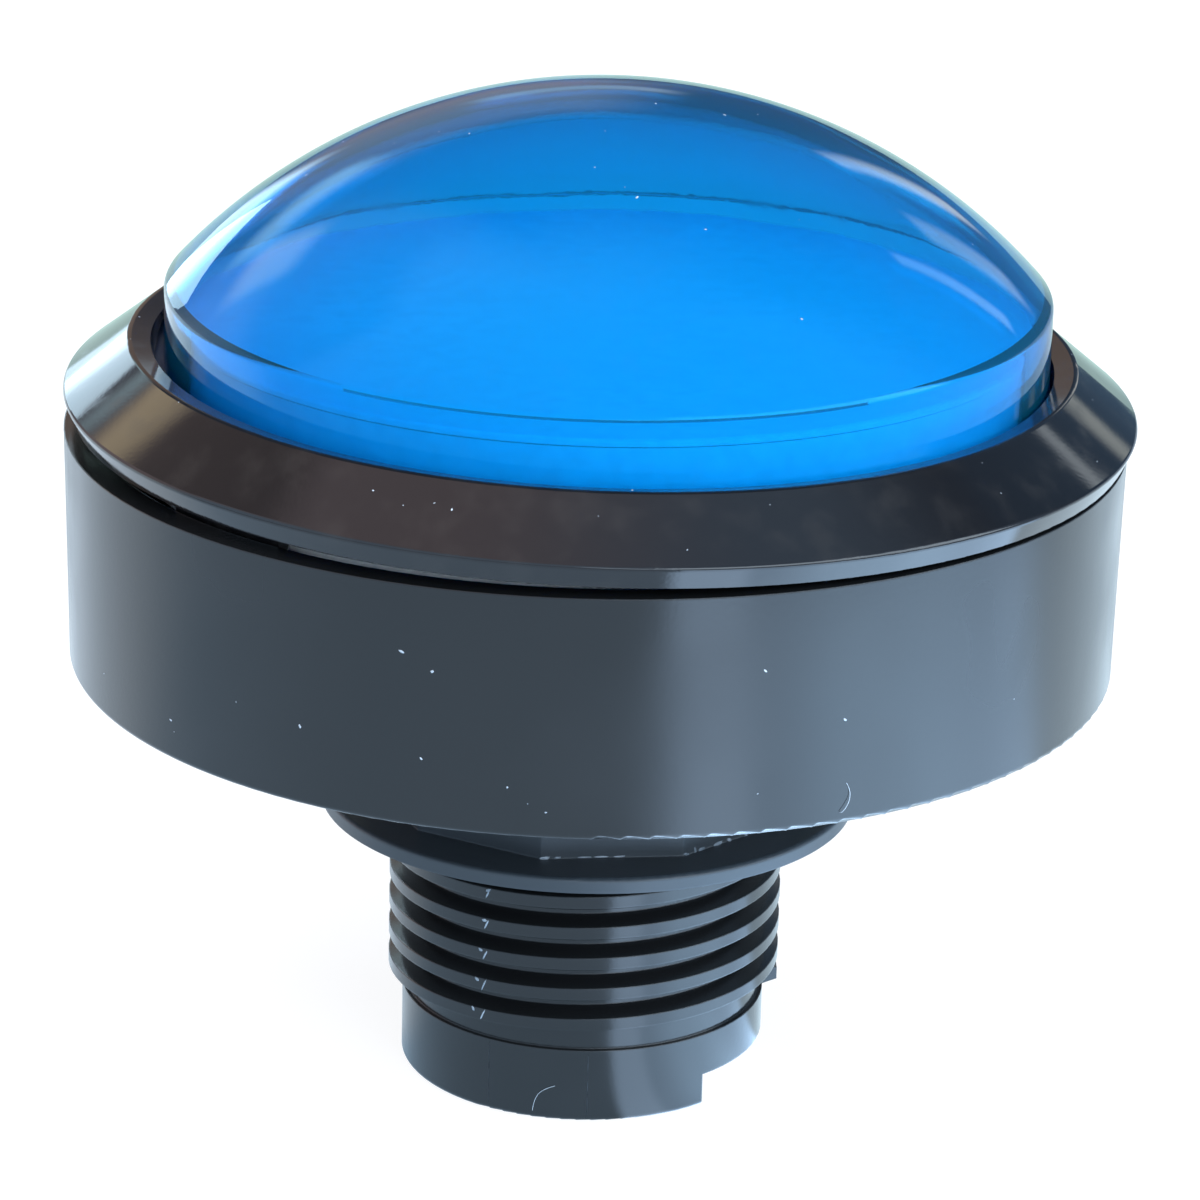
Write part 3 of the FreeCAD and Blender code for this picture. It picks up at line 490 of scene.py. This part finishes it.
def spring():
    """The round wire's coil, built to the size of the design's spring."""
    low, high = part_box("return_spring")
    radius = high.x - SPRING_WIRE
    start = low.z + SPRING_WIRE
    rise = (high.z - low.z - 2 * SPRING_WIRE) / SPRING_TURNS
    steps = int(SPRING_TURNS * SPRING_STEPS_PER_TURN)
    made = bmesh.new()
    rings = []
    for step in range(steps + 1):
        turn = 2 * math.pi * SPRING_TURNS * step / steps
        out = Vector((math.cos(turn), math.sin(turn), 0.0))
        middle = out * radius + Vector((0.0, 0.0, start + rise * turn / (2 * math.pi)))
        ring = []
        for corner in range(SPRING_SIDES):
            angle = 2 * math.pi * corner / SPRING_SIDES
            reach = out * math.cos(angle) + Vector((0.0, 0.0, math.sin(angle)))
            ring.append(made.verts.new(middle + reach * SPRING_WIRE))
        rings.append(ring)
    for here, there in zip(rings, rings[1:]):
        for index in range(SPRING_SIDES):
            after = (index + 1) % SPRING_SIDES
            made.faces.new((here[index], there[index], there[after], here[after]))
    made.faces.new(rings[0])
    made.faces.new(reversed(rings[-1]))
    bmesh.ops.recalc_face_normals(made, faces=made.faces)
    mesh = bpy.data.meshes.new("spring_coil")
    made.to_mesh(mesh)
    made.free()
    mesh.shade_smooth()
    mesh.set_sharp_from_angle(angle=math.radians(50))
    piece = bpy.data.objects.new("spring_coil", mesh)
    scene.collection.objects.link(piece)
    dress(piece, steel)
    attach(piece, "housing")
    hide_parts("return_spring")
    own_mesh(piece)


spring()


# ---------------------------------------------------------------- flash, burrs, dust and fibres

FLASH_AZIMUTH = -29.5
SECOND_PARTING = 2.5
THREAD_PITCH = 1.9 * MM
LOWEST_CREST = -20.35 * MM
CREST_TO_FLASH = 0.62
NUT_FOOT = -8.12 * MM
# Where casting starts: clear of the object's side and top.
OUTSIDE = 0.05
OVERHEAD = 0.08
WALL = (1.2 * MM, 10.5 * MM)
BEZEL_BAND = (26.2, 30.2)
DOME_BAND = (2, 24)
# Each burr on the nut's foot: azimuth, half length and half thickness in mm, and lean in degrees.
BURRS = (
    (-10, 0.34, 0.10, 88),
    (-7, 0.22, 0.07, 95),
    (0, 0.40, 0.05, 90),
    (4, 0.42, 0.05, 90),
    (9, 0.34, 0.05, 92),
    (26, 0.24, 0.10, 70),
    (29, 0.30, 0.08, 12),
    (31, 0.30, 0.12, 100),
    (37, 0.42, 0.14, 96),
    (41, 0.22, 0.12, 60),
    (47, 0.24, 0.11, 20),
    (-61, 0.26, 0.07, 80),
    (112, 0.34, 0.08, 90),
    (171, 0.26, 0.07, 85),
    (-140, 0.30, 0.08, 90),
)
# Each fibre's points, as azimuth, height and how far it stands off in mm, then its radius in mm.
FIBRES = {
    "fibre_on_rim": (
        (
            (25.5, -0.1, 0.05),
            (26.2, 0.5, 0.12),
            (27.4, 1.1, 0.2),
            (27.9, 1.9, 0.05),
            (27.3, 2.4, 0.02),
        ),
        0.015,
    ),
    "fibre_on_stem": (
        ((-14.5, -25.0, 0.03), (-14.0, -24.2, 0.08), (-11.0, -23.5, 0.1), (-7.5, -23.3, 0.03)),
        0.016,
    ),
}


def skin(piece):
    """The surface of a piece, to find places on it."""
    mesh = piece.data
    spots = [vert.co for vert in mesh.vertices]
    return BVHTree.FromPolygons(spots, [face.vertices for face in mesh.polygons])


def side(surface, azimuth, height):
    """Where a level line from outside first meets the surface, and its normal there."""
    turn = math.radians(azimuth)
    out = Vector((math.sin(turn), -math.cos(turn), 0.0))
    found = surface.ray_cast(out * OUTSIDE + Vector((0.0, 0.0, height)), -out)
    return found[0], found[1]


def above(surface, azimuth, radius):
    """Where a plumb line first meets the surface, and its normal there."""
    turn = math.radians(azimuth)
    start = Vector((math.sin(turn) * radius, -math.cos(turn) * radius, OVERHEAD))
    found = surface.ray_cast(start, Vector((0, 0, -1)))
    return found[0], found[1]


def grain(made, spot, normal, sizes, lean, dice):
    """One irregular chip lying on a surface. Sizes are half its width, length and height."""
    turn = normal.to_track_quat("Z", "Y") @ Quaternion((0, 0, 1), math.radians(lean))
    for vert in bmesh.ops.create_icosphere(made, subdivisions=2, radius=1.0)["verts"]:
        jitter = dice.uniform(0.72, 1.18)
        scaled = Vector([part * size * jitter for part, size in zip(vert.co, sizes)])
        vert.co = spot + turn @ scaled


def chips(name, rows, material, body, seed):
    """One piece of many chips. Each row is a place, its normal, half sizes in mm and a lean."""
    dice = random.Random(seed)
    mesh = bpy.data.meshes.new(name)
    made = bmesh.new()
    for spot, normal, sizes, lean in rows:
        if spot is not None:
            grain(made, spot, normal, [size * MM for size in sizes], lean, dice)
    made.to_mesh(mesh)
    made.free()
    mesh.shade_smooth()
    piece = bpy.data.objects.new(name, mesh)
    scene.collection.objects.link(piece)
    dress(piece, material)
    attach(piece, body)


def dust_rows(dice, count, place, small, large):
    """Chips strewn over a surface by a function that draws a place. Sizes are in mm."""
    rows = []
    for _ in range(count):
        spot, normal = place()
        size = small + (large - small) * dice.random() ** 3
        sizes = (size, size * dice.uniform(0.8, 2.2), size * 0.45)
        rows.append((spot, normal, sizes, dice.uniform(0, 180)))
    return rows


def fibre(name, surface, path, thick):
    """A fine fibre that lies on the side of a surface of the housing."""
    curve = bpy.data.curves.new(name, "CURVE")
    curve.dimensions = "3D"
    curve.bevel_depth = thick * MM
    curve.bevel_resolution = 2
    line = curve.splines.new("NURBS")
    line.points.add(len(path) - 1)
    for point, (azimuth, height, lift) in zip(line.points, path):
        spot, normal = side(surface, azimuth, height * MM)
        point.co = (*(spot + normal * lift * MM), 1.0)
    line.order_u = 3
    line.use_endpoint_u = True
    piece = bpy.data.objects.new(name, curve)
    scene.collection.objects.link(piece)
    dress(piece, lint)
    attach(piece, "housing")


def stem_marks():
    """Torn flash across the thread, and the two parting lines of the plain end."""
    flash = []
    for turn in range(6):
        height = LOWEST_CREST + (turn + CREST_TO_FLASH) * THREAD_PITCH
        spot, normal = side(housing_skin, FLASH_AZIMUTH + 0.25 * turn, height)
        flash.append((spot, normal, (0.055, 0.40 - 0.03 * turn, 0.05), -24))
        spot, normal = side(housing_skin, FLASH_AZIMUTH - 3.2 + 1.1 * turn, height + 0.25 * MM)
        flash.append((spot, normal, (0.09, 0.16, 0.05), 35 + 20 * turn))
    chips("moulding_flash", flash, whitened, "housing", 11)
    parting = []
    for azimuth in (FLASH_AZIMUTH, SECOND_PARTING):
        for height in (-21.9, -23.2, -24.5, -25.8):
            spot, normal = side(housing_skin, azimuth, height * MM)
            parting.append((spot, normal, (0.03, 0.72, 0.018), 0))
    chips("parting_lines", parting, satin_painted_lighter, "housing", 16)


def nut_marks():
    """Whitened burrs along the foot of the nut's flats."""
    rows = []
    for azimuth, length, thick, lean in BURRS:
        spot, normal = side(nut_skin, azimuth, NUT_FOOT)
        rows.append((spot, normal, (thick, length, thick * 0.6), lean))
    chips("nut_burrs", rows, whitened, "nut", 12)


def dust():
    """Grains of dust on the housing, bezel and lens."""
    dice = random.Random(7)

    def on_wall():
        return side(housing_skin, dice.uniform(-180, 180), dice.uniform(*WALL))

    def on_bezel():
        return above(bezel_skin, dice.uniform(-180, 180), dice.uniform(*BEZEL_BAND) * MM)

    def on_lens():
        return above(lens_skin, dice.uniform(-180, 180), dice.uniform(*DOME_BAND) * MM)

    rows = dust_rows(dice, 46, on_wall, 0.025, 0.08)
    chips("dust_on_housing", rows, lint, "housing", 13)
    rows = dust_rows(dice, 34, on_bezel, 0.025, 0.07)
    chips("dust_on_bezel", rows, lint, "housing", 14)
    rows = dust_rows(dice, 30, on_lens, 0.025, 0.09)
    chips("dust_on_lens", rows, lint, "plunger", 15)


lint = plain_plastic("lint_pale", (0.28, 0.32, 0.36), (0.50, 0.55, 0.60), 0.6)
whitened = plain_plastic("plastic_stress_whitened", (0.12, 0.15, 0.18), (0.32, 0.37, 0.42), 0.45)
housing_skin = skin(frame["nodes"]["housing"])
nut_skin = skin(frame["nodes"]["mounting_nut"])
bezel_skin = skin(frame["nodes"]["bezel_ring"])
lens_skin = skin(lens)
stem_marks()
nut_marks()
dust()
for fibre_name, (fibre_path, fibre_radius) in FIBRES.items():
    fibre(fibre_name, housing_skin, fibre_path, fibre_radius)


# ---------------------------------------------------------------- floor, light and camera

FLOOR_SIDE = 6.0
FLOOR_DROP = 0.02 * MM
# What the gloss sees in the floor. Near the stem: azimuth, how many degrees round from it the
# radiance is full and then none, and the radiance. Later rows lie over earlier ones.
FLOOR_BASE = (0.56, 0.84, 1.12)
FLOOR_AREAS = (
    (180, 20, 90, (0.68, 0.82, 0.90)),
    (-118, 12, 40, (0.92, 1.12, 1.30)),
    (112, 20, 45, (1.0, 1.3, 1.5)),
    (57, 37, 42, (2.1, 3.1, 4.3)),
    (22, 5, 10, (2.9, 4.1, 5.6)),
    (58, 8, 26, (2.8, 4.2, 5.8)),
)
# Beyond this radius the floor is darker.
FLOOR_GLOW = 0.155
FLOOR_GLOW_EDGE = 0.012
FLOOR_FAR = (0.30, 0.42, 0.55)
FLOOR_FAR_LEFT = (-130, 30, 45, (1.1, 1.3, 1.4))
FLOOR_BEHIND = (180, 14, 30, (0.35, 0.60, 0.50))
FLOOR_SEEN = (0.86, 0.86, 0.86)


def floor():
    """A plain pale floor under the foot of the stem, which a view from below looks through."""
    mesh = bpy.data.meshes.new("studio_floor")
    half = FLOOR_SIDE / 2
    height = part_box("housing")[0].z - FLOOR_DROP
    made = bmesh.new()
    corners = ((-half, -half), (half, -half), (half, half), (-half, half))
    made.faces.new([made.verts.new((x, y, height)) for x, y in corners])
    made.to_mesh(mesh)
    made.free()
    plane = bpy.data.objects.new("studio_floor", mesh)
    scene.collection.objects.link(plane)
    recipe = Recipe("pale_floor")
    axes = recipe.node("ShaderNodeSeparateXYZ", Vector=recipe.place)
    sky = Sky(recipe.tree, axes.outputs[0], axes.outputs[1], None)

    def lay(under, area):
        azimuth, full, none, radiance = area
        return sky.mix(sky.fade(sky.away(azimuth), full, none), under, radiance)

    glow = FLOOR_BASE
    for area in FLOOR_AREAS:
        glow = lay(glow, area)
    far = lay(FLOOR_FAR, FLOOR_FAR_LEFT)
    across = sky.math("POWER", sky.x, 2.0)
    along = sky.math("POWER", axes.outputs[1], 2.0)
    from_axis = sky.math("SQRT", sky.math("ADD", across, along))
    glow = sky.mix(sky.fade(from_axis, FLOOR_GLOW - FLOOR_GLOW_EDGE, FLOOR_GLOW), far, glow)
    glow = lay(glow, FLOOR_BEHIND)
    cloud = recipe.noise(30, detail=2.0)
    seen = recipe.node("ShaderNodeLightPath").outputs["Is Camera Ray"]
    shader = recipe.principled(
        Base_Color=recipe.mix(
            recipe.ramp(cloud, 0.3, 0.7), (0.20, 0.20, 0.205), (0.23, 0.23, 0.235)
        ),
        Roughness=0.9,
        Specular_IOR_Level=0.0,
        Emission_Color=sky.mix(seen, glow, FLOOR_SEEN),
        Emission_Strength=1.0,
    )
    underside = recipe.node("ShaderNodeNewGeometry").outputs["Backfacing"]
    clear = recipe.node("ShaderNodeBsdfTransparent")
    dress(plane, recipe.finish(recipe.either(underside, shader, clear)))


def panel(name, azimuth, elevation, distance, width, height, radiance, colour, glossy=False):
    """A rectangular light facing the origin. One that isn't glossy is too soft to be reflected."""
    light = bpy.data.lights.new(name, "AREA")
    light.shape = "RECTANGLE"
    light.size = width
    light.size_y = height
    light.energy = radiance * math.pi * width * height
    light.color = colour
    lamp = bpy.data.objects.new(name, light)
    scene.collection.objects.link(lamp)
    turn, lift = math.radians(azimuth), math.radians(elevation)
    level = math.cos(lift)
    out = Vector((math.sin(turn) * level, -math.cos(turn) * level, math.sin(lift)))
    lamp.location = out * distance
    lamp.rotation_mode = "QUATERNION"
    lamp.rotation_quaternion = out.to_track_quat("Z", "Y")
    lamp.visible_camera = False
    lamp.visible_glossy = glossy
    lamp.visible_transmission = False


# Soft areas of the room in azimuth and elevation, in degrees. Azimuth 0 is the camera's side, 90
# the right. Each has its middle azimuth and half width, middle elevation and half height, the
# softness of its edge, and its radiance.
ROOM = {
    "back": (164, 56, 30, 44, 30, (0.07, 0.10, 0.15)),
    "back_left": (-168, 13, 14, 13, 8, (0.45, 0.34, 0.28)),
    "right_low": (142, 24, 18, 26, 10, (0.09, 0.17, 0.28)),
    "front_low": (-35, 62, 8, 34, 26, (0.85, 1.15, 1.50)),
    "window_front": (56, 40, 24, 14, 8, (4.2, 5.0, 5.8)),
    "dim_left": (-124, 20, 43, 13, 9, (0.42, 0.33, 0.31)),
    "wall_left": (-139, 5, 28, 5, 5, (2.1, 1.7, 1.15)),
    "window_left": (-158, 7, 2, 5, 4, (2.0, 2.6, 3.0)),
    "window_left_top": (-152, 8, 21, 3, 5, (1.2, 1.7, 1.9)),
    "strip_right": (139, 1.3, 27, 9, 1.6, (1.4, 1.6, 1.75)),
    "strip_right_low": (150, 2.2, 17, 7, 2.5, (1.0, 1.1, 1.1)),
    "strip_back": (162, 1.5, 13, 9, 2.2, (1.3, 1.35, 1.35)),
    "spot_back": (-178, 5, 10, 1.6, 2.5, (0.6, 0.7, 0.8)),
    "window_low": (42, 44, 12, 6, 6, (3.6, 4.3, 5.0)),
}
LEFT_CEILING = (1.0, 0.80, 0.82)
RIGHT_CEILING = (0.46, 0.66, 0.92)


class Sky:
    """Nodes that work out a radiance from a direction or a place."""

    def __init__(self, tree, x, y, z):
        self.tree = tree
        degrees = 180 / math.pi
        self.x = x
        round_z = self.math("ARCTAN2", x, self.math("MULTIPLY", y, -1.0))
        self.turn = self.math("MULTIPLY", round_z, degrees)
        if z is not None:
            self.rise = self.math("MULTIPLY", self.math("ARCSINE", z), degrees)

    def node(self, kind, settings=None, links=()):
        made = self.tree.nodes.new(kind)
        for key, value in (settings or {}).items():
            setattr(made, key, value)
        for index, value in links:
            if isinstance(value, bpy.types.NodeSocket):
                self.tree.links.new(value, made.inputs[index])
            elif isinstance(value, tuple):
                made.inputs[index].default_value = (*value, 1.0)
            else:
                made.inputs[index].default_value = value
        return made

    def math(self, operation, *values):
        links = tuple(enumerate(values))
        return self.node("ShaderNodeMath", {"operation": operation}, links).outputs[0]

    def fade(self, value, full, none):
        """1 up to full, 0 from none on."""
        settings = {"interpolation_type": "SMOOTHSTEP"}
        links = ((0, value), (1, float(full)), (2, float(none)), (3, 1.0), (4, 0.0))
        return self.node("ShaderNodeMapRange", settings, links).outputs[0]

    def away(self, azimuth):
        """How many degrees round from an azimuth."""
        turned = self.math("SUBTRACT", self.turn, float(azimuth))
        return self.math("ABSOLUTE", self.math("WRAP", turned, 180.0, -180.0))

    def mix(self, share, first, second):
        """A colour between first and second."""
        links = ((0, share), (6, first), (7, second))
        return self.node("ShaderNodeMix", {"data_type": "RGBA"}, links).outputs[2]


def surroundings():
    """The room: white where the camera sees it, and for the rest soft walls and windows."""
    world = bpy.data.worlds.new("studio")
    world.use_nodes = True
    scene.world = world
    tree = world.node_tree
    tree.nodes.clear()
    place = tree.nodes.new("ShaderNodeTexCoord").outputs["Generated"]
    axes = tree.nodes.new("ShaderNodeSeparateXYZ")
    tree.links.new(place, axes.inputs[0])
    sky = Sky(tree, axes.outputs[0], axes.outputs[1], axes.outputs[2])
    colour = sky.mix(sky.fade(sky.x, -0.35, 0.4), RIGHT_CEILING, LEFT_CEILING)
    for azimuth, wide, elevation, tall, soft, radiance in ROOM.values():
        over = sky.math("ABSOLUTE", sky.math("SUBTRACT", sky.rise, float(elevation)))
        across = sky.fade(sky.away(azimuth), wide - soft / 2, wide + soft / 2)
        upward = sky.fade(over, tall - soft / 2, tall + soft / 2)
        colour = sky.mix(sky.math("MULTIPLY", across, upward), colour, radiance)
    seen = tree.nodes.new("ShaderNodeLightPath").outputs["Is Camera Ray"]
    back = sky.node("ShaderNodeBackground", links=((0, sky.mix(seen, colour, (1.0, 1.0, 1.0))),))
    sky.node("ShaderNodeOutputWorld", links=((0, back.outputs[0]),))


floor()
surroundings()
panel("overhead_soft", 0, 84, 0.9, 1.3, 1.3, 0.95, (1.0, 1.0, 1.0))
panel("front_soft", 0, 28, 1.0, 1.4, 0.8, 1.5, (1.0, 1.0, 1.0))
panel("pane_left", -140.5, 16.5, 0.115, 0.034, 0.024, 3.5, (0.64, 0.85, 1.0), glossy=True)

CAMERA_LIFT = math.radians(19.44)
CAMERA_ROLL = math.radians(1.45)
CAMERA_AWAY = 0.310
LOOK_AT = Vector((0.000486, 0.0, 0.00291))
camera = bpy.data.cameras.new("camera")
camera.lens = 159.5
camera.sensor_width = 36.0
camera.clip_start = 0.01
camera.clip_end = 20.0
eye = bpy.data.objects.new("camera", camera)
scene.collection.objects.link(eye)
back = Vector((0.0, -math.cos(CAMERA_LIFT), math.sin(CAMERA_LIFT)))
eye.matrix_world = (
    Matrix.Translation(LOOK_AT + back * CAMERA_AWAY)
    @ back.to_track_quat("Z", "Y").to_matrix().to_4x4()
    @ Matrix.Rotation(CAMERA_ROLL, 4, "Z")
)
scene.camera = eye
scene.view_settings.view_transform = "Standard"
